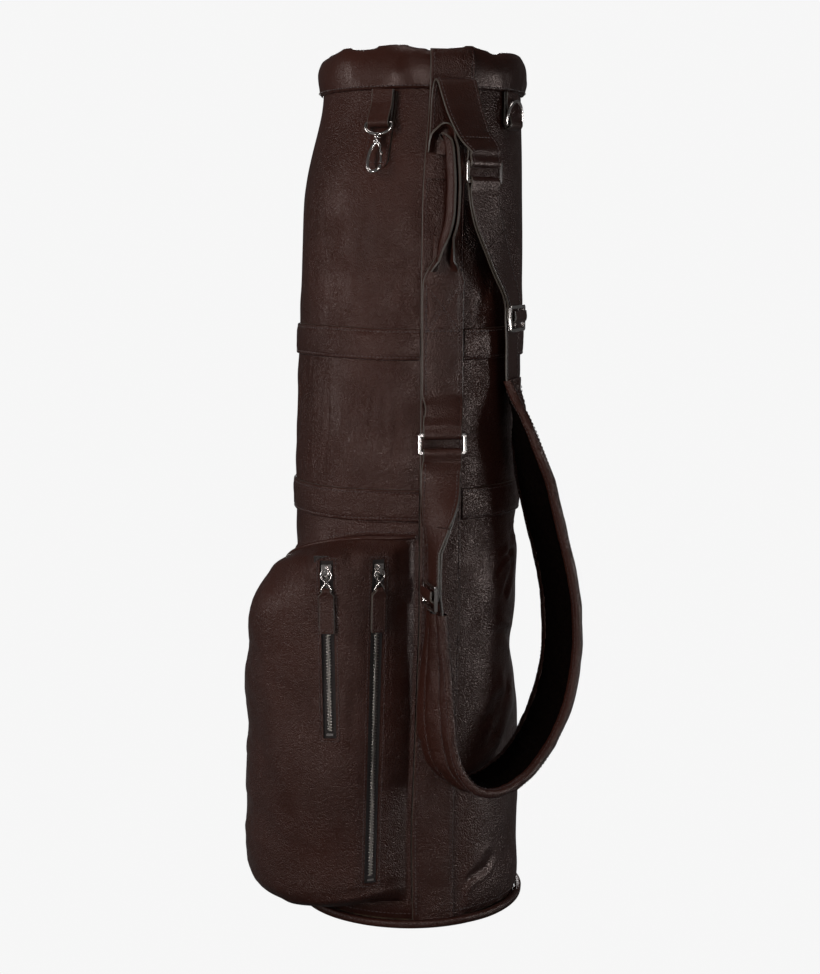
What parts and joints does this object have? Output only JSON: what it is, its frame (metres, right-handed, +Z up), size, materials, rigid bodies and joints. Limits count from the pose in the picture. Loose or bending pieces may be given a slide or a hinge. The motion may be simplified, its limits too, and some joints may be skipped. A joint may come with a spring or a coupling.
{
  "type": "golf bag",
  "caption": "Slim upright club bag: a leather tube with rolled collar and flat base, side pocket with two zips, carry handle, padded shoulder strap, towel clip and D-ring.",
  "frame": {"origin": "centre of the round base, on the face the bag stands on", "axes": "+Z up the tube; -Y out through the spine strip that carries the straps; +X to the right of the spine seen from outside, so the pocket is on the -X side"},
  "size_m": [0.3231, 0.3019, 0.88],
  "materials": {
    "leather": "pebbled, semi-gloss",
    "fleece": "brushed pile",
    "nickel": "polished",
    "zip_cloth": "woven tape",
    "zip_steel": "bright",
    "lining_cloth": "plain weave",
    "foam": "closed-cell foam, hidden",
    "board": "fibre board",
    "stay_steel": "spring steel, painted"
  },
  "bodies": {
    "bag": {"base_piping": "leather", "base_leather": "leather", "body_shell": "leather", "spine_strip": "leather", "band_upper": "leather", "band_lower": "leather", "top_cuff": "leather", "pocket_shell": "leather", "pocket_piping": "leather", "clip_backing": "leather", "clip_tab": "leather", "dring_tab": "leather", "strap_anchor": "leather", "anchor_patch": "leather", "lower_anchor_loop": "leather", "handle_tab_upper": "leather", "handle_tab_lower": "leather", "divider_bar": "leather", "zip_short_stop": "nickel", "zip_long_stop": "nickel", "zip_short_tape": "zip_cloth", "zip_long_tape": "zip_cloth", "zip_short_teeth": "zip_steel", "zip_long_teeth": "zip_steel", "body_lining": "lining_cloth", "base_board": "board", "cuff_padding": "foam", "spine_stay": "stay_steel", "hoop_upper": "stay_steel", "hoop_lower": "stay_steel", "rim_hoop": "stay_steel"},
    "zip_short_slider": {"zip_short_slider": "nickel"},
    "zip_short_pull": {"zip_short_pull": "nickel"},
    "zip_short_tab": {"zip_short_tab": "leather"},
    "zip_long_slider": {"zip_long_slider": "nickel"},
    "zip_long_pull": {"zip_long_pull": "nickel"},
    "zip_long_tab": {"zip_long_tab": "leather"},
    "clip_eye": {"clip_eye": "nickel"},
    "clip_hook": {"clip_hook": "nickel"},
    "clip_gate": {"clip_gate": "nickel"},
    "d_ring": {"d_ring": "nickel"},
    "upper_ring": {"upper_ring": "nickel", "upper_ring_loop": "leather"},
    "lower_ring": {"lower_ring": "nickel", "lower_ring_loop": "leather"},
    "strap": {"upper_strap": "leather", "lower_strap": "leather", "pad_leather": "leather", "pad_core": "foam", "pad_lining": "fleece"},
    "upper_slider": {"upper_slider": "nickel", "upper_strap_end": "leather"},
    "lower_slider": {"lower_slider": "nickel", "lower_strap_end": "leather"},
    "handle": {"handle_grip": "leather"}
  },
  "joints": [
    {"name": "zip_short_slide", "type": "slide", "parent": "bag", "child": "zip_short_slider", "axis": [0.016, 0.0076, -0.9998], "range_m": [0, 0.155]},
    {"name": "zip_short_pull_hinge", "type": "hinge", "parent": "zip_short_slider", "child": "zip_short_pull", "pos_m": [-0.12039, -0.12428, 0.37696], "axis": [-0.9247, 0.3805, -0.0119], "range_deg": [0, 130]},
    {"name": "zip_short_tab_hinge", "type": "hinge", "parent": "zip_short_pull", "child": "zip_short_tab", "pos_m": [-0.12006, -0.12413, 0.35646], "axis": [-0.9247, 0.3805, -0.0119], "range_deg": [0, 60]},
    {"name": "zip_long_slide", "type": "slide", "parent": "bag", "child": "zip_long_slider", "axis": [-0.0233, 0.0235, -0.9995], "range_m": [0, 0.306]},
    {"name": "zip_long_pull_hinge", "type": "hinge", "parent": "zip_long_slider", "child": "zip_long_pull", "pos_m": [-0.06845, -0.13234, 0.37692], "axis": [-0.9958, -0.0889, 0.0211], "range_deg": [0, 130]},
    {"name": "zip_long_tab_hinge", "type": "hinge", "parent": "zip_long_pull", "child": "zip_long_tab", "pos_m": [-0.06892, -0.13185, 0.35643], "axis": [-0.9958, -0.0889, 0.0211], "range_deg": [0, 60]},
    {"name": "clip_swing", "type": "hinge", "parent": "bag", "child": "clip_eye", "pos_m": [-0.05644, -0.08897, 0.806], "axis": [-0.7986, 0.6018, 0], "range_deg": [0, 90]},
    {"name": "clip_swivel", "type": "hinge", "parent": "clip_eye", "child": "clip_hook", "pos_m": [-0.06036, -0.09417, 0.78709], "axis": [0.1959, 0.26, 0.9455], "continuous": true},
    {"name": "clip_gate_hinge", "type": "hinge", "parent": "clip_hook", "child": "clip_gate", "pos_m": [-0.05799, -0.098, 0.78236], "axis": [0.569, 0.7551, -0.3256], "range_deg": [0, 20], "stiffness_Nm_per_rad": 0.02},
    {"name": "d_ring_hinge", "type": "hinge", "parent": "bag", "child": "d_ring", "pos_m": [0.08244, -0.08264, 0.806], "axis": [0.7547, 0.6561, 0], "range_deg": [0, 165]},
    {"name": "upper_ring_play", "type": "hinge", "parent": "bag", "child": "upper_ring", "pos_m": [0.035, -0.134, 0.7667], "axis": [0.891, 0.454, 0], "range_deg": [-6, 6]},
    {"name": "lower_ring_play", "type": "hinge", "parent": "bag", "child": "lower_ring", "pos_m": [-0.004, -0.128, 0.5057], "axis": [0.9903, -0.1392, 0], "range_deg": [-6, 6]},
    {"name": "strap_swing", "type": "hinge", "parent": "bag", "child": "strap", "pos_m": [0.035, -0.134, 0.7493], "axis": [-0.1478, 0.0227, -0.9888], "range_deg": [0, 36]},
    {"name": "upper_slider_adjust", "type": "slide", "parent": "strap", "child": "upper_slider", "axis": [0.043, 0.0585, -0.9974], "range_m": [0, 0.035]},
    {"name": "lower_slider_adjust", "type": "slide", "parent": "strap", "child": "lower_slider", "axis": [0.005, 0.019, 0.9998], "range_m": [0, 0.02]},
    {"name": "handle_tilt", "type": "hinge", "parent": "bag", "child": "handle", "pos_m": [0, -0.1245, 0.68], "axis": [0.0846, -0.074, -0.9937], "range_deg": [-5, 38]}
  ]
}
